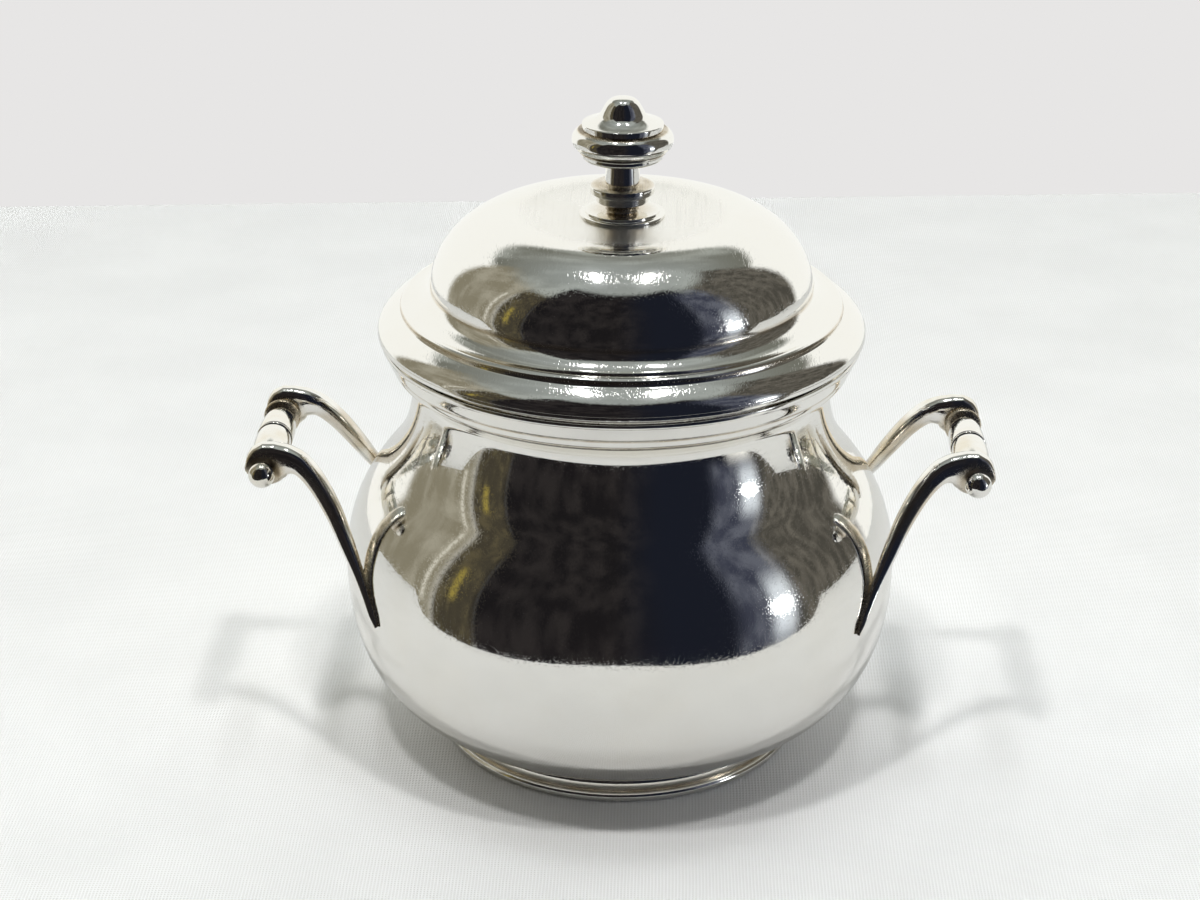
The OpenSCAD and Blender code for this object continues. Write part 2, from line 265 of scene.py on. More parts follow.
polished = silver("polished_silver", 0.035)
swirled = silver("swirled_silver", 0.03, scratch_depth=0.4, tarnish=0.12, dull_r=DULL_R)
handled = silver("handled_silver", 0.06, scratch_depth=0.3, tarnish=0.9, haze=0.05, pits=False,
                 film=HANDLE_FILM)
turned_silver = silver("turned_silver", 0.04, scratch_depth=0.2, pits=False)
satin = silver("satin_silver", 0.22, scratch_depth=0.5, tarnish=0.3, haze=0.1, pits=False)
fixing = brass("fixing_brass")


# --- outlines ---------------------------------------------------------------

def bezier(p0, p1, p2, p3, steps, first=0):
    """Points of a cubic curve in the outline plane."""
    points = []
    for i in range(first, steps + 1):
        t = i / steps
        s = 1 - t
        points.append(tuple(s ** 3 * a + 3 * s * s * t * b + 3 * s * t * t * c + t ** 3 * d
                            for a, b, c, d in zip(p0, p1, p2, p3)))
    return points


def arc(centre, radius, start, end, steps):
    """Points of a circle's arc; angles in degrees, 0 outwards and 90 up."""
    points = []
    for i in range(steps + 1):
        angle = math.radians(start + (end - start) * i / steps)
        points.append((centre[0] + radius * math.cos(angle), centre[1] + radius * math.sin(angle)))
    return points


def softened(corners, radius, steps=4):
    """A chain of straight lines whose inner corners are rounded; the ends stay as they are."""
    points = [corners[0]]
    for before, corner, after in zip(corners, corners[1:], corners[2:]):
        here = Vector(corner)
        back = Vector(before) - here
        on = Vector(after) - here
        cut = min(radius, 0.45 * back.length, 0.45 * on.length)
        start = here + back.normalized() * cut
        end = here + on.normalized() * cut
        for i in range(steps + 1):
            t = i / steps
            points.append(tuple((1 - t) ** 2 * start + 2 * t * (1 - t) * here + t * t * end))
    points.append(corners[-1])
    return points


def shifted(points, distance):
    """The outline moved to the left of its direction by a distance."""
    moved = []
    for i, point in enumerate(points):
        before = Vector(points[max(i - 1, 0)])
        after = Vector(points[min(i + 1, len(points) - 1)])
        along = (after - before).normalized()
        moved.append((point[0] - along.y * distance, point[1] + along.x * distance))
    return moved


# --- mesh helpers -----------------------------------------------------------

def make_piece(name, points, faces, body, replaced, material):
    """Makes a closed smooth-shaded mesh from points in millimetres and puts it in place of its CAD node."""
    mesh = bpy.data.meshes.new(name)
    mesh.from_pydata([Vector(p) * MM for p in points], [], faces)
    mesh.validate()
    mesh.shade_smooth()
    mesh.set_sharp_from_angle(angle=math.radians(SHARP_ANGLE))
    piece = bpy.data.objects.new(name, mesh)
    bpy.context.scene.collection.objects.link(piece)
    mesh.materials.append(material)
    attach(piece, body)
    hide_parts(*replaced)
    return piece


def revolve(outline, around):
    """Rings of points about the Z axis, and the quads between them.

    The outline runs anticlockwise round its section.
    """
    points = []
    rings = []
    for radius, height in outline:
        if radius < 1e-6:
            rings.append([len(points)] * around)
            points.append((0, 0, height))
            continue
        rings.append(list(range(len(points), len(points) + around)))
        for k in range(around):
            angle = 2 * math.pi * k / around
            points.append((radius * math.cos(angle), radius * math.sin(angle), height))
    faces = []
    closed = outline[0][0] > 1e-6 and outline[-1][0] > 1e-6
    pairs = list(zip(rings, rings[1:]))
    if closed:
        pairs.append((rings[-1], rings[0]))
    for lower, upper in pairs:
        for k in range(around):
            k2 = (k + 1) % around
            corners = []
            for corner in (lower[k], lower[k2], upper[k2], upper[k]):
                if corner not in corners:
                    corners.append(corner)
            if len(corners) > 2:
                faces.append(tuple(corners))
    return points, faces


def turned(name, outline, body, material, replaced, around=AROUND):
    """A piece turned about the Z axis, in place of the CAD nodes listed."""
    points, faces = revolve(outline, around)
    return make_piece(name, points, faces, body, replaced, material)


def mark(piece, weight):
    """Stores how deep each point lies in a crevice, 0 to 1, for the tarnish.

    weight takes a point in millimetres.
    """
    layer = piece.data.attributes.new("crevice", "FLOAT", "POINT")
    for i, vertex in enumerate(piece.data.vertices):
        layer.data[i].value = weight(vertex.co / MM)


def near(distance, full, none):
    """1 within full of something, falling to 0 at none."""
    if distance <= full:
        return 1.0
    if distance >= none:
        return 0.0
    t = (none - distance) / (none - full)
    return t * t * (3 - 2 * t)


# --- bowl -------------------------------------------------------------------

BELLY_R = 55.2
BELLY_Z = 37.0
NECK_R = 41.1
NECK_Z = 74.6
COLLAR_R = 44.2
MOUTH_Z = 85.9
MOULDING_H = 6.7
BOWL_WALL = 0.9
FLOOR_Z = 2.6
FOOT_JOIN_R = 31.2
FOOT_R = 36.1
FOOT_WIRE_R = 1.0
FOOT_TOP_Z = 4.2
SHOULDER = Vector((46, 59.9))
SHOULDER_WAY = Vector((-0.62, 0.78))


def belly_line():
    """The bowl's outer line from the foot joint up to the mouth moulding."""
    return (
        bezier((FOOT_JOIN_R, 3.2), (BELLY_R - 12.2, 7.6), (BELLY_R, 13), (BELLY_R, BELLY_Z), 44)
        + bezier((BELLY_R, BELLY_Z), (BELLY_R, 50.2), tuple(SHOULDER - 3.4 * SHOULDER_WAY),
                 tuple(SHOULDER), 28, 1)
        + bezier(tuple(SHOULDER), tuple(SHOULDER + 6.4 * SHOULDER_WAY), (NECK_R, NECK_Z - 4.4),
                 (NECK_R, NECK_Z), 20, 1)
        + bezier((NECK_R, NECK_Z), (NECK_R, NECK_Z + 2), (NECK_R + 1.3, NECK_Z + 3.6),
                 (COLLAR_R, MOUTH_Z - MOULDING_H), 16, 1))


def bowl_outline():
    """Round the sheet: floor, belly, neck and collar outside, then back down inside."""
    outside = belly_line()
    mouth_r = COLLAR_R - BOWL_WALL
    inner_floor = FLOOR_Z + BOWL_WALL
    inside = [p for p in shifted(outside, BOWL_WALL)
              if inner_floor + 0.3 < p[1] < MOUTH_Z - MOULDING_H + 0.4]
    lip = softened([(COLLAR_R, MOUTH_Z - 1), (COLLAR_R, MOUTH_Z), (mouth_r, MOUTH_Z),
                    (mouth_r, MOUTH_Z - 1)], 0.3)
    return ([(0, FLOOR_Z), (10, FLOOR_Z), (20, FLOOR_Z), (FOOT_JOIN_R - 4, FLOOR_Z)] + outside + lip
            + [(mouth_r, MOUTH_Z - MOULDING_H + 0.9)] + inside[::-1]
            + [(FOOT_JOIN_R - 3, inner_floor), (20, inner_floor), (10, inner_floor), (0, inner_floor)])


def moulding_outline():
    """The strip round the mouth, from below: bead, cove, upright edge and the seat for the lid."""
    base_z = MOUTH_Z - MOULDING_H
    edge_z = MOUTH_Z - 0.9
    outer = 46.9
    return (
        bezier((COLLAR_R, base_z), (COLLAR_R + 0.5, base_z + 0.2), (COLLAR_R + 0.8, base_z + 0.9),
               (COLLAR_R + 0.9, base_z + 1.7), 10)
        + bezier((COLLAR_R + 1.05, base_z + 1.9), (COLLAR_R + 1.4, base_z + 2.1),
                 (COLLAR_R + 1.7, base_z + 3.2), (outer - 0.25, base_z + 4.7), 12)
        + softened([(outer - 0.2, base_z + 4.8), (outer, base_z + 5.1), (outer, edge_z),
                    (outer - 1.4, edge_z), (outer - 1.5, MOUTH_Z), (COLLAR_R, MOUTH_Z)], 0.15))


def foot_ring_outline():
    """The flared foot from the belly down to its sole."""
    inner = bezier((FOOT_JOIN_R - 1, 3.1), (FOOT_JOIN_R + 0.6, 2.9), (FOOT_JOIN_R + 1.8, 2.1),
                   (FOOT_JOIN_R + 2, 0.8), 10)
    outer = bezier((FOOT_R - 0.5, 2 * FOOT_WIRE_R), (FOOT_R - 1.6, 2.3), (FOOT_R - 2.4, FOOT_TOP_Z - 0.9),
                   (FOOT_R - 2.2, FOOT_TOP_Z), 12)
    sole = softened([(FOOT_JOIN_R + 2, 0.8), (FOOT_JOIN_R + 2, 0), (FOOT_R - 0.2, 0),
                     (FOOT_R - 0.2, 2 * FOOT_WIRE_R)], 0.2)
    return inner + sole[1:] + outer


def foot_wire_outline():
    return arc((FOOT_R - 0.2, FOOT_WIRE_R), FOOT_WIRE_R, -90, 90, 14)


BELLY_LINE = belly_line()
SEAM_Z = MOUTH_Z - MOULDING_H
BAND_GROOVE_Z = SEAM_Z + 1.8
FOOT_SEAM_Z = 4.1
WIRE_SEAM_Z = 2 * FOOT_WIRE_R


def bowl_tarnish(p):
    """Dark along the seams with the moulding and with the foot."""
    return 0.9 * max(near(abs(p.z - SEAM_Z), 0.1, 0.6), 0.6 * near(abs(p.z - FOOT_SEAM_Z), 0.2, 0.7))


def moulding_tarnish(p):
    return max(near(p.z - SEAM_Z, 0.1, 0.6), 0.8 * near(abs(p.z - BAND_GROOVE_Z), 0.1, 0.35))


def foot_tarnish(p):
    return 0.5 * max(near(abs(p.z - FOOT_SEAM_Z), 0.1, 0.5), near(abs(p.z - WIRE_SEAM_Z), 0.05, 0.3))


bowl = turned("bowl_body", bowl_outline(), "bowl", polished, ["bowl"])
moulding = turned("mouth_ring", moulding_outline(), "bowl", polished, ["mouth_moulding"])
foot = turned("foot_flare", foot_ring_outline(), "bowl", polished, ["foot_ring"])
foot_edge = turned("foot_edge_wire", foot_wire_outline(), "bowl", turned_silver, ["foot_wire"])
mark(bowl, bowl_tarnish)
mark(moulding, moulding_tarnish)
mark(foot, foot_tarnish)
mark(foot_edge, lambda p: 0.4 * near(abs(p.z - WIRE_SEAM_Z), 0.05, 0.25))


# --- handles ----------------------------------------------------------------

GRIP_X = 69.3
GRIP_Z = 60.9
GRIP_HALF = 11.8
ARM_DEPTH = 4.8
BARREL_R = 3.5
BALL_R = 2.6
END_GROOVE_IN = 1.2
BEAD_GROOVE_Y = 0.48
ARM_MID_Y = GRIP_HALF + ARM_DEPTH / 2
ARM_FACE_Y = GRIP_HALF + ARM_DEPTH
HALF_D = ARM_DEPTH / 2

# Along an arm from its round end to its pointed foot: distance out, height, distance from the
# middle plane, half width of the strap, half depth.
ARM = [
    (72.7, 61.4, ARM_MID_Y, 0.7, HALF_D - 0.2),
    (72.0, 61.5, ARM_MID_Y, 2.4, HALF_D),
    (70.6, 61.7, ARM_MID_Y, 3.75, HALF_D),
    (68.5, 62.0, ARM_MID_Y, 4.3, HALF_D),
    (66.3, 62.6, ARM_MID_Y, 3.7, HALF_D),
    (64.1, 62.8, ARM_MID_Y + 0.2, 2.7, HALF_D),
    (61.6, 61.8, ARM_MID_Y + 0.7, 2.1, HALF_D),
    (58.6, 58.5, ARM_MID_Y + 1.9, 1.85, HALF_D - 0.1),
    (55.4, 53.4, ARM_MID_Y + 4, 1.65, HALF_D - 0.2),
    (52.7, 48.0, ARM_MID_Y + 6.9, 1.4, HALF_D - 0.5),
    (50.4, 43.4, ARM_MID_Y + 9.8, 1.05, HALF_D - 0.9),
    (48.7, 39.8, ARM_MID_Y + 12.5, 0.85, HALF_D - 1.2),
    (47.4, 36.8, ARM_MID_Y + 14.5, 0.8, HALF_D - 1.3),
    (46.6, 34.6, ARM_MID_Y + 15.7, 0.4, HALF_D - 1.8)]
ARM_STEPS = 10
SECTION_SIDES = 48
SECTION_POWER = 0.72


def between(stations, i, t):
    """Catmull-Rom blend of the stations between i and i + 1."""
    last = len(stations) - 1
    a = stations[max(i - 1, 0)]
    b = stations[i]
    c = stations[min(i + 1, last)]
    d = stations[min(i + 2, last)]
    return [0.5 * (2 * q + (r - p) * t + (2 * p - 5 * q + 4 * r - s) * t * t
                   + (3 * q - p - 3 * r + s) * t ** 3)
            for p, q, r, s in zip(a, b, c, d)]


def signed_power(value, power):
    return math.copysign(abs(value) ** power, value)


def outside_bowl(x, y, z):
    """Moves a point of a handle out to the middle of the bowl's sheet if it lies deeper."""
    for (r0, z0), (r1, z1) in zip(BELLY_LINE, BELLY_LINE[1:]):
        if z0 <= z < z1:
            least = r0 + (r1 - r0) * (z - z0) / (z1 - z0) - BOWL_WALL / 2
            out = max(1.0, least / math.hypot(x, y))
            return (x * out, y * out, z)
    return (x, y, z)


def arm_mesh(side, end):
    """The strap arm lofted along its stations, on one side (-1 left, 1 right) and end (-1 front, 1 back)."""
    line = [between(ARM, i, j / ARM_STEPS) for i in range(len(ARM) - 1) for j in range(ARM_STEPS)]
    line.append(list(ARM[-1]))
    points = []
    for i, (x, z, y, half_w, half_d) in enumerate(line):
        a, b = line[max(i - 1, 0)], line[min(i + 1, len(line) - 1)]
        along = Vector((b[0] - a[0], b[1] - a[1])).normalized()
        for k in range(SECTION_SIDES):
            angle = 2 * math.pi * (k + 0.5) / SECTION_SIDES
            u = half_w * signed_power(math.cos(angle), SECTION_POWER)
            v = half_d * signed_power(math.sin(angle), SECTION_POWER)
            points.append(outside_bowl(side * (x - along.y * u), end * (y + v), z + along.x * u))
    faces = []
    for i in range(len(line) - 1):
        for k in range(SECTION_SIDES):
            k2 = (k + 1) % SECTION_SIDES
            quad = (i * SECTION_SIDES + k, i * SECTION_SIDES + k2,
                    (i + 1) * SECTION_SIDES + k2, (i + 1) * SECTION_SIDES + k)
            faces.append(quad if side * end > 0 else quad[::-1])
    first = tuple(range(SECTION_SIDES))
    final = tuple((len(line) - 1) * SECTION_SIDES + k for k in range(SECTION_SIDES))
    faces.append(first[::-1] if side * end > 0 else first)
    faces.append(final if side * end > 0 else final[::-1])
    return points, faces


def grip_outline():
    """Section of the grip along its own axis, from the front arm to the back arm."""
    half = (
        [(BARREL_R + 0.1, 0)]
        + arc((BARREL_R - 0.2, 0), 0.3, 12, 78, 6)
        + [(BARREL_R - 0.35, 0.42), (BARREL_R - 0.32, 0.55)]
        + bezier((BARREL_R - 0.05, 0.8), (BARREL_R + 0.15, 3), (BARREL_R + 0.05, 6.5),
                 (BARREL_R - 0.6, GRIP_HALF - 1.9), 14)
        + [(BARREL_R - 0.8, GRIP_HALF - 1.4)]
        + arc((BARREL_R - 0.5, GRIP_HALF - 0.7), 0.75, -50, 80, 10)
        + [(BARREL_R - 0.5, GRIP_HALF), (0, GRIP_HALF)])
    return [(r, -h) for r, h in half[::-1]] + half[1:]


def along_y(points, x, y, z, toward=1):
    """Points made about the Z axis, laid over so that Z runs along Y, and moved."""
    return [(x + px, y + toward * pz, z - toward * py) for px, py, pz in points]


def ball_outline():
    """The ball, cut off where it sinks into the arm's face."""
    stand_off = 0.85
    sink = math.degrees(math.asin(stand_off / BALL_R))
    return [(0, 0)] + arc((0, stand_off), BALL_R, -sink, 90, 24)[:-1] + [(0, stand_off + BALL_R)]


def grip_tarnish(p):
    """Dark in the groove at each end and in the two beside the middle bead."""
    inward = GRIP_HALF - abs(p.y)
    groove = near(inward - END_GROOVE_IN, 0.15, 0.5) * 0.8
    bead = near(abs(abs(p.y) - BEAD_GROOVE_Y), 0.08, 0.2) * 0.7
    return max(groove, near(inward, 0.1, 0.5), bead)


def arm_tarnish(p):
    """Dark round the ball and the grip's end, golden just below the grip and at the foot on the belly."""
    gap = math.hypot(abs(p.x) - GRIP_X, p.z - GRIP_Z)
    joint = near(gap - BALL_R, 0.3, 2.6)
    under = 0.6 * near(GRIP_Z + 0.5 - p.z, 9.0, 12.0) * near(p.z - GRIP_Z + 1.5, 0.0, 3.0)
    foot_end = 0.8 * near(math.hypot(p.x, p.y) - BELLY_R, 0.2, 1.2)
    return max(joint, under, foot_end)


def make_handles():
    for side, side_name in ((-1, "left"), (1, "right")):
        points, faces = revolve(grip_outline(), GRIP_AROUND)
        points = along_y(points, side * GRIP_X, 0, GRIP_Z)
        grip = make_piece(side_name + "_turned_grip", points, faces, "bowl", [side_name + "_grip"],
                          handled)
        mark(grip, grip_tarnish)
        for end, end_name in ((-1, "front"), (1, "back")):
            stem = side_name + "_" + end_name
            points, faces = arm_mesh(side, end)
            arm = make_piece(stem + "_strap_arm", points, faces, "bowl", [stem + "_arm"],
                             handled)
            mark(arm, arm_tarnish)
            points, faces = revolve(ball_outline(), BALL_AROUND)
            points = along_y(points, side * GRIP_X, end * ARM_FACE_Y, GRIP_Z, end)
            ball = make_piece(stem + "_ball_end", points, faces, "bowl", [stem + "_ball"],
                              handled)
            mark(ball, lambda p: near(abs(p.y) - ARM_FACE_Y, 0.1, 0.8))


make_handles()


# --- lid --------------------------------------------------------------------

LID_GAP = 0.1
BRIM_R = 47.5
BAND_H = 0.8
DOME_R = 37.0
DOME_Z = 109.0
LID_WALL = 0.8
PLATE_R = 8.25
STUD_R = 1.5
SEAT_Z = MOUTH_Z + LID_GAP
BRIM_Z = SEAT_Z + BAND_H
STEP_R = BRIM_R - 4.3
UNDER_STEP_Z = BRIM_Z + 4.7
CREASE = (DOME_R, DOME_Z - 13.8)
WALL_TOP = DOME_Z - 12.2
FLAT_R = PLATE_R + 0.4
SHOULDER_END_R = 18.0
FLANGE_R = COLLAR_R - BOWL_WALL - 0.5
FLANGE_DEPTH = 5.0


def dome_curve(inset):
    """The dome from the top of its upright wall to the flat at the finial, moved in by a thickness."""
    return (
        bezier((DOME_R - inset, WALL_TOP - 0.2 * inset), (DOME_R - 1.6 - inset, WALL_TOP + 8.4),
               (DOME_R - 10.2 - 0.6 * inset, DOME_Z + 1.7 - inset),
               (SHOULDER_END_R, DOME_Z + 0.5 - inset), 48)
        + bezier((SHOULDER_END_R, DOME_Z + 0.5 - inset), (SHOULDER_END_R - 3, DOME_Z + 0.1 - inset),
                 (FLAT_R + 2, DOME_Z - inset), (FLAT_R, DOME_Z - inset), 12, 1))


def lid_outline():
    """Round the lid's sheet: brim roll, step, cove and dome outside, then back inside."""
    outside = (
        bezier((BRIM_R, BRIM_Z), (BRIM_R, BRIM_Z + 1.1), (BRIM_R - 1.5, BRIM_Z + 2.8),
               (STEP_R, BRIM_Z + 4.1), 28)
        + [(STEP_R - 0.06, BRIM_Z + 4.2), (STEP_R - 0.15, BRIM_Z + 4.65)]
        + bezier((STEP_R - 0.2, BRIM_Z + 4.8), (STEP_R - 0.4, BRIM_Z + 5.3), (STEP_R - 0.9, BRIM_Z + 5.45),
                 (STEP_R - 1.4, BRIM_Z + 5.45), 10)
        + bezier((STEP_R - 1.4, BRIM_Z + 5.45), (STEP_R - 3, BRIM_Z + 5.5),
                 (CREASE[0] + 0.9, CREASE[1] - 2.1), CREASE, 24, 1)
        + [(DOME_R, (CREASE[1] + WALL_TOP) / 2)] + dome_curve(0))
    inside = (
        bezier((BRIM_R - LID_WALL, BRIM_Z), (BRIM_R - LID_WALL, BRIM_Z + 0.8), (BRIM_R - 2.2, BRIM_Z + 2.1),
               (STEP_R - 0.5, BRIM_Z + 3.3), 14)
        + bezier((STEP_R - 1, BRIM_Z + 4), (STEP_R - 2.6, BRIM_Z + 4.6), (CREASE[0] + 0.3, CREASE[1] - 3),
                 (CREASE[0] - LID_WALL, CREASE[1] - 0.3 * LID_WALL), 14)
        + dome_curve(LID_WALL))
    return outside + [(STUD_R, DOME_Z), (STUD_R, DOME_Z - LID_WALL)] + inside[::-1]


def band_outline():
    """Flat ring under the brim, with its outer edge just broken."""
    return softened([(FLANGE_R, SEAT_Z + 0.4), (FLANGE_R, SEAT_Z), (BRIM_R, SEAT_Z), (BRIM_R, BRIM_Z),
                     (FLANGE_R, BRIM_Z), (FLANGE_R, SEAT_Z + 0.4)], 0.12)[:-1]


def flange_outline():
    """Upright ring that drops into the neck and runs up under the lid's sheet."""
    low = MOUTH_Z - FLANGE_DEPTH
    inner = FLANGE_R - LID_WALL
    return softened([(inner, BRIM_Z), (inner, low), (FLANGE_R, low), (FLANGE_R, BRIM_Z + 3.2),
                     (inner, BRIM_Z + 4), (inner, BRIM_Z)], 0.25)[:-1]


def lid_tarnish(p):
    """Dark under the step and in the crease below the dome."""
    return max(0.8 * near(abs(p.z - UNDER_STEP_Z), 0.1, 0.5), 0.7 * near(abs(p.z - CREASE[1]), 0.1, 0.6))


lid = turned("lid_dome", lid_outline(), "lid", swirled, ["lid"])
turned("lid_brim_band", band_outline(), "lid", swirled, ["lid_edge_band"])
turned("lid_neck_flange", flange_outline(), "lid", satin, ["lid_flange"])
mark(lid, lid_tarnish)


# --- finial -----------------------------------------------------------------

TOTAL_H = 132.2
KNOB_R = 9.7
PLATE_TOP = DOME_Z + 1.1
STEM_TOP = TOTAL_H - 12.3
KNOB_Z = STEM_TOP + 2
STEM_FOOT_R = 3.3
STEM_HOLLOW_Z = PLATE_TOP + 0.6
RING_TOP_Z = PLATE_TOP + 5.3
DISC_SEAM_Z = KNOB_Z + 4.15


def plate_outline():
    """Round plate in two steps."""
    step_z = DOME_Z + 0.55
    upper_r = PLATE_R - 1.1
    return softened([(STUD_R, DOME_Z), (PLATE_R, DOME_Z), (PLATE_R, step_z), (upper_r, step_z),
                     (upper_r, PLATE_TOP), (STUD_R, PLATE_TOP)], 0.18)


def stem_outline():
    """Stem with a low tier and a wider ring above it."""
    tier_r = 5.1
    tier_z = PLATE_TOP + 1.7
    ring_r = 6.2
    ring_z = PLATE_TOP + 3.4
    return (
        [(STUD_R, PLATE_TOP), (STEM_FOOT_R, PLATE_TOP)]
        + bezier((3.2, PLATE_TOP + 0.2), (2.8, PLATE_TOP + 0.5), (2.9, PLATE_TOP + 1),
                 (3.4, PLATE_TOP + 1.4), 8)
        + softened([(3.7, tier_z - 0.1), (tier_r, tier_z), (tier_r, ring_z - 0.1), (ring_r, ring_z),
                    (ring_r, ring_z + 1.5), (ring_r - 1, ring_z + 1.75), (4.4, ring_z + 1.8)], 0.28)
        + bezier((3.4, ring_z + 2.1), (3.3, ring_z + 3.2), (3.3, ring_z + 4.4), (3, STEM_TOP), 12)
        + [(STUD_R, STEM_TOP)])


def knob_base_outline():
    """Shallow saucer with a lip, under the knob."""
    saucer_r = KNOB_R - 1.9
    lip_r = KNOB_R - 1.4
    return (
        [(STUD_R, STEM_TOP), (4.5, STEM_TOP)]
        + bezier((5, STEM_TOP), (7, STEM_TOP + 0.1), (saucer_r - 0.2, STEM_TOP + 0.4),
                 (saucer_r, STEM_TOP + 0.9), 10)
        + softened([(saucer_r, STEM_TOP + 1), (saucer_r, STEM_TOP + 1.5), (lip_r, STEM_TOP + 1.7),
                    (lip_r, KNOB_Z), (STUD_R, KNOB_Z)], 0.1))


def knob_outline():
    """Rolled edge, flat disc, and a bullet-shaped top."""
    disc_r = KNOB_R - 1.95
    disc_z = KNOB_Z + 4.2
    disc_top = disc_z + 1.15
    bullet = (4.3, disc_top + 1.75)
    tip = (2.3, TOTAL_H - 0.4)
    return (
        [(0, KNOB_Z), (KNOB_R - 1.5, KNOB_Z)]
        + arc((KNOB_R - 2.1, KNOB_Z + 2.1), 2.1, -80, 70, 24)
        + softened([(disc_r, disc_z), (disc_r, disc_z + 0.2), (disc_r, disc_top),
                    (disc_r - 0.4, disc_top + 0.1)], 0.15)
        + bezier((disc_r - 0.45, disc_top + 0.11), (6.2, disc_top + 0.4), (4.9, disc_top + 0.85), bullet, 14)
        + bezier(bullet, (3.65, bullet[1] + 1), (3.3, TOTAL_H - 1), tip, 12, 1)
        + bezier(tip, (1.7, TOTAL_H - 0.1), (0.9, TOTAL_H), (0, TOTAL_H), 10, 1))


def stem_tarnish(p):
    """Dark in the hollow at the stem's foot and on top of its ring."""
    return max(near(abs(p.z - STEM_HOLLOW_Z), 0.3, 0.9), 0.8 * near(abs(p.z - RING_TOP_Z), 0.1, 0.6))


def finial_piece(name, outline, replaced):
    return turned(name, outline, "lid", turned_silver, [replaced], FINIAL_AROUND)


plate = finial_piece("finial_foot_plate", plate_outline(), "finial_plate")
stem = finial_piece("finial_turned_stem", stem_outline(), "finial_stem")
saucer = finial_piece("finial_saucer", knob_base_outline(), "finial_knob_base")
knob = finial_piece("finial_bullet_knob", knob_outline(), "finial_knob")

mark(plate, lambda p: near(math.hypot(p.x, p.y) - STEM_FOOT_R, 0.2, 1.2))
mark(stem, stem_tarnish)
mark(saucer, lambda p: 0.7 * near(KNOB_Z - p.z, 0.1, 0.4))
mark(knob, lambda p: near(abs(p.z - DISC_SEAM_Z), 0.1, 0.35))

for node, material in (("finial_stud", fixing), ("finial_nut", fixing), ("finial_washer", satin)):
    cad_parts[node].data.materials.clear()
    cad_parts[node].data.materials.append(material)


# --- studio -----------------------------------------------------------------

CLOTH_BACK = 0.338
CLOTH_BACK_SLOPE = 0.074
CLOTH_FRONT = -0.06
CLOTH_TONGUE = 0.129
CLOTH_TONGUE_WIDTH = 0.13
CLOTH_SIDE = 1.0
CLOTH_NEAR = -2.0
CLOTH_COLUMNS = 100
PAINTED_CLOTH_SHADE = 0.2


def cloth_material():
    """White table cloth: a fine plain weave with faint unevenness, and painted shade where the silver
    reflects it.
    """
    material = bpy.data.materials.new("table_cloth")
    material.use_nodes = True
    n = Nodes(material.node_tree)
    place = n.add("ShaderNodeTexCoord").outputs["Object"]
    warp = n.add("ShaderNodeTexWave", bands_direction="X")
    weft = n.add("ShaderNodeTexWave", bands_direction="Y")
    for wave in (warp, weft):
        n.link(place, wave.inputs["Vector"])
        wave.inputs["Scale"].default_value = 500.0
        wave.inputs["Distortion"].default_value = 1.5
        wave.inputs["Detail Scale"].default_value = 0.1
    weave = n.math("MAXIMUM", warp.outputs["Fac"], weft.outputs["Fac"])
    uneven = n.noise(place, 30.0, 3.0)
    base = n.mix(n.ramp(uneven, 0.3, 0.7), (0.86, 0.87, 0.88), (0.90, 0.91, 0.92))
    base = n.mix(n.ramp(weave, 0.35, 0.95, 0.45, 0.0), base, (0.62, 0.61, 0.59))
    # Painted shade: the cloth is drawn darker in the silver's reflections, standing in for the shade round
    # the bowl.
    in_silver = n.add("ShaderNodeLightPath").outputs["Is Glossy Ray"]
    base = n.mix(n.math("MULTIPLY", in_silver, PAINTED_CLOTH_SHADE), base, (0, 0, 0))
    bump = n.add("ShaderNodeBump")
    bump.inputs["Strength"].default_value = 0.45
    bump.inputs["Distance"].default_value = 0.0002
    n.link(weave, bump.inputs["Height"])
    shader = n.add("ShaderNodeBsdfPrincipled")
    n.link(base, shader.inputs["Base Color"])
    shader.inputs["Roughness"].default_value = 0.95
    shader.inputs["Specular IOR Level"].default_value = 0.1
    n.link(bump.outputs["Normal"], shader.inputs["Normal"])
    out = n.add("ShaderNodeOutputMaterial")
    n.link(shader.outputs["BSDF"], out.inputs["Surface"])
    return material


def front_edge(x):
    """Where the cloth ends for the silver's reflections: straight, with a round tongue in the middle."""
    return CLOTH_FRONT - CLOTH_TONGUE * math.exp(-(x / CLOTH_TONGUE_WIDTH) ** 2)


def make_cloth():
    """The cloth that the silver reflects, and its plain continuation to the front for the camera only."""
    material = cloth_material()
    columns = [CLOTH_SIDE * i / CLOTH_COLUMNS for i in range(-CLOTH_COLUMNS, CLOTH_COLUMNS + 1)]
    front = [(x, front_edge(x), 0) for x in columns]
    back = [(x, CLOTH_BACK + CLOTH_BACK_SLOPE * x, 0) for x in (CLOTH_SIDE, -CLOTH_SIDE)]
    near_side = [(-CLOTH_SIDE, CLOTH_NEAR, 0), (CLOTH_SIDE, CLOTH_NEAR, 0)]
    for name, outline in (("cloth", front + back), ("cloth_in_front", near_side + front[::-1])):
        mesh = bpy.data.meshes.new(name)
        mesh.from_pydata(outline, [], [tuple(range(len(outline)))])
        sheet = bpy.data.objects.new(name, mesh)
        mesh.materials.append(material)
        bpy.context.scene.collection.objects.link(sheet)
        if name != "cloth":
            sheet.visible_glossy = False


def make_lamp(name, way):
    """A small square lamp that looks at the bowl, gives the soft shadows and doesn't show in the silver."""
    data = bpy.data.lights.new(name, "AREA")
    data.size = LAMP_SIZE
    data.energy = LAMP_POWER
    data.color = LAMP_TINT
    lamp = bpy.data.objects.new(name, data)
    way = Vector(way).normalized()
    lamp.location = way * LAMP_DISTANCE + BOWL_MIDDLE
    lamp.rotation_euler = way.to_track_quat("Z", "Y").to_euler()
    lamp.visible_glossy = False
    bpy.context.scene.collection.objects.link(lamp)


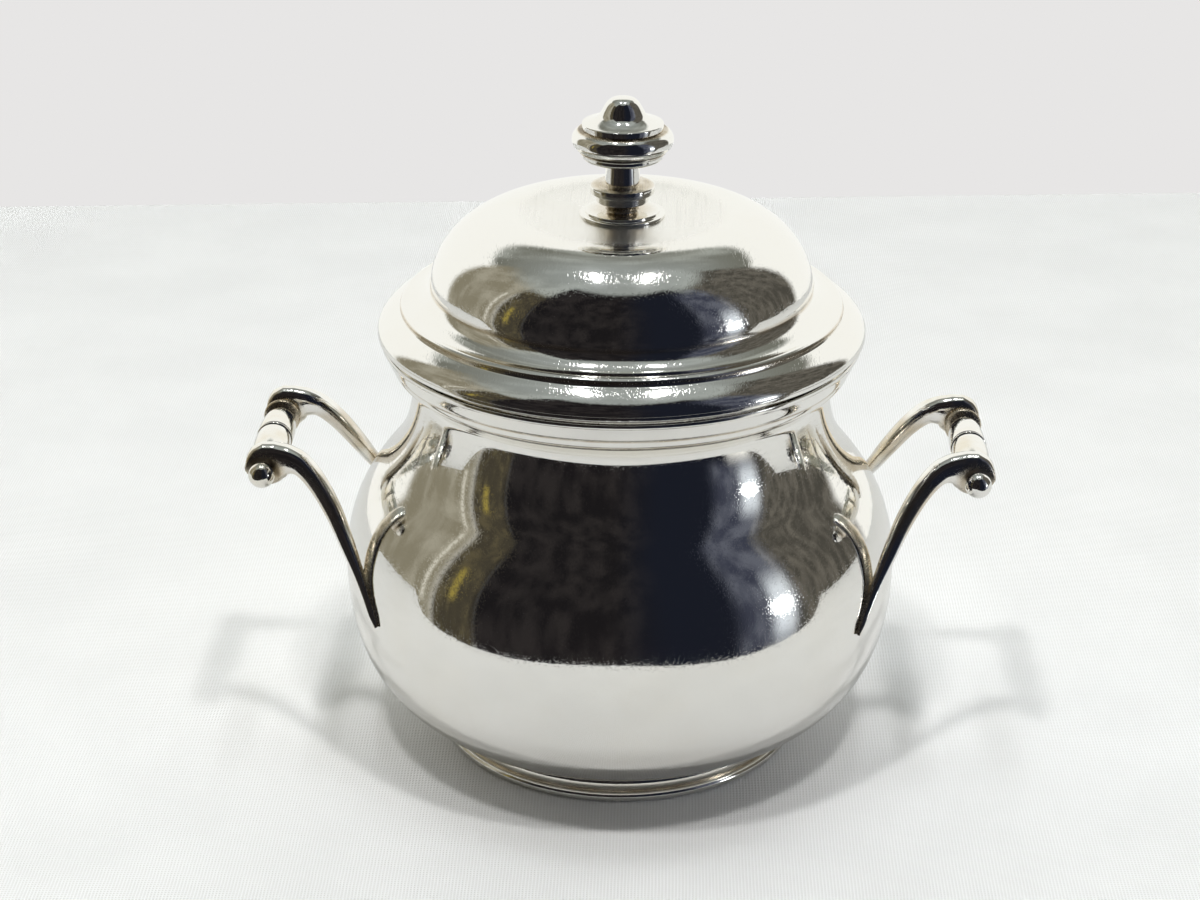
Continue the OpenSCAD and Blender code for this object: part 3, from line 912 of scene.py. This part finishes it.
WALL = (0.97, 0.975, 0.94)
SEEN_WALL = (0.80, 0.79, 0.785)
PLAIN_LIGHT = 1.9
LAMP_POWER = 3.7
LAMP_SIZE = 0.09
LAMP_DISTANCE = 1.2
LAMP_TINT = (1.0, 0.985, 0.965)
BOWL_MIDDLE = Vector((0, 0, 0.05))
CEILING_LAMP_SIDE = 127
CEILING_LAMP_HEIGHT = 79.5


def make_world():
    """Pale walls, a dark room in front of the table, a grey ceiling, a window and two ceiling lamps."""
    world = bpy.data.worlds.new("studio")
    world.use_nodes = True
    bpy.context.scene.world = world
    n = Nodes(world.node_tree)
    way = n.add("ShaderNodeTexCoord").outputs["Generated"]
    parts = n.add("ShaderNodeSeparateXYZ")
    n.link(way, parts.inputs[0])
    x, y, z = parts.outputs
    azimuth = n.math("MULTIPLY", n.math("ARCTAN2", x, n.math("MULTIPLY", y, -1.0)), 180 / math.pi)
    height = n.math("MULTIPLY", n.math("ARCSINE", z), 180 / math.pi)
    streaks = n.noise(n.mapped(way, (4, 4, 0.8)), 2.0, 2.0)
    clouds = n.noise(way, 3.0, 3.0)
    clutter = n.noise(n.mapped(way, (9, 9, 1.4)), 2.0, 2.0)

    def patch(side, soft_side, level, soft_level):
        """A soft-edged patch between two azimuths and two elevations, in degrees."""
        mask = n.math("MULTIPLY", n.ramp(azimuth, side[0] - soft_side, side[0] + soft_side),
                      n.ramp(azimuth, side[1] - soft_side, side[1] + soft_side, 1, 0))
        mask = n.math("MULTIPLY", mask, n.ramp(height, level[0] - soft_level, level[0] + soft_level))
        return n.math("MULTIPLY", mask,
                      n.ramp(height, level[1] - soft_level, level[1] + soft_level, 1, 0))

    def disc(centre, radius, blur, length=1.0):
        """A spot about a direction given as azimuth and elevation, drawn out along Y by a factor."""
        a, e = math.radians(centre[0]), math.radians(centre[1])
        spot = Vector((math.sin(a) * math.cos(e), -math.cos(a) * math.cos(e), math.sin(e)))
        gap = n.add("ShaderNodeVectorMath", operation="DISTANCE")
        n.link(n.mapped(way, (1, 1 / length, 1)), gap.inputs[0])
        gap.inputs[1].default_value = (spot.x, spot.y / length, spot.z)
        return n.ramp(gap.outputs["Value"], math.radians(radius - blur), math.radians(radius + blur), 1, 0)

    def uneven(source, dark, light, low=0.38, high=0.66):
        return n.mix(n.ramp(source, low, high), dark, light)

    ceiling = uneven(clouds, (0.17, 0.175, 0.15), (0.36, 0.38, 0.35))
    sky = n.mix(n.ramp(height, 37, 42), WALL, ceiling)
    sky = n.mix(n.math("MULTIPLY", n.ramp(height, 42, 74), 0.6), sky, (0.38, 0.42, 0.42))
    left_wall = uneven(streaks, (0.24, 0.22, 0.16), (0.36, 0.34, 0.27))
    right_wall = uneven(clutter, (0.07, 0.066, 0.056), (0.14, 0.13, 0.11))
    left_corner = uneven(clutter, (0.055, 0.048, 0.034), (0.10, 0.085, 0.05))
    dark_room = uneven(streaks, (0.011, 0.010, 0.011), (0.026, 0.023, 0.023))
    window_side = uneven(streaks, (0.045, 0.05, 0.075), (0.12, 0.13, 0.165))
    yellow_strip = (0.30, 0.24, 0.06)
    cool_shade = (0.010, 0.012, 0.020)
    pale_strip = (0.62, 0.60, 0.52)
    daylight = (0.85, 0.92, 1.0)
    sky = n.mix(patch((-122, -79), 3, (-40, 50), 6), sky, left_wall)
    sky = n.mix(patch((74, 124), 3, (-40, 62), 4), sky, right_wall)
    sky = n.mix(patch((-79, -58), 2, (-40, 50), 3), sky, left_corner)
    sky = n.mix(patch((-72, -69), 1, (4, 24), 3), sky, yellow_strip)
    sky = n.mix(patch((-60, 60), 2.5, (-40, 69), 3), sky, dark_room)
    sky = n.mix(patch((10, 60), 14, (-40, 66), 5), sky, cool_shade)
    sky = n.mix(patch((50, 76), 5, (-20, 60), 6), sky, window_side)
    sky = n.mix(patch((-86, -84), 0.8, (-5, 36), 2), sky, pale_strip)
    sky = n.mix(n.math("MULTIPLY", patch((65, 75), 3.5, (-14, 22), 9), 0.85), sky, daylight)
    sky = n.mix(disc((69.5, 4), 4.5, 1.2), sky, (9, 9.3, 9.8))
    for side in (-CEILING_LAMP_SIDE, CEILING_LAMP_SIDE):
        centre = (side, CEILING_LAMP_HEIGHT)
        sky = n.mix(n.math("MULTIPLY", disc(centre, 4, 2.5, 3.5), 0.3), sky, (0.9, 0.93, 0.97))
        sky = n.mix(disc(centre, 1.6, 0.5, 5), sky, (12, 12.2, 12.5))

    seen = n.add("ShaderNodeBackground")
    seen.inputs["Color"].default_value = colour(SEEN_WALL)
    around = n.add("ShaderNodeBackground")
    n.link(sky, around.inputs["Color"])
    path = n.add("ShaderNodeLightPath")
    n.link(n.ramp(path.outputs["Is Glossy Ray"], 0, 1, PLAIN_LIGHT, 1), around.inputs["Strength"])
    pick = n.add("ShaderNodeMixShader")
    n.link(path.outputs["Is Camera Ray"], pick.inputs["Fac"])
    n.link(around.outputs[0], pick.inputs[1])
    n.link(seen.outputs[0], pick.inputs[2])
    out = n.add("ShaderNodeOutputWorld")
    n.link(pick.outputs[0], out.inputs["Surface"])


make_cloth()
make_world()
for lamp_name, lean in (("left_lamp", -0.2), ("right_lamp", 0.2)):
    make_lamp(lamp_name, (lean, -0.3, 0.93))
bpy.context.scene.view_settings.view_transform = "Standard"
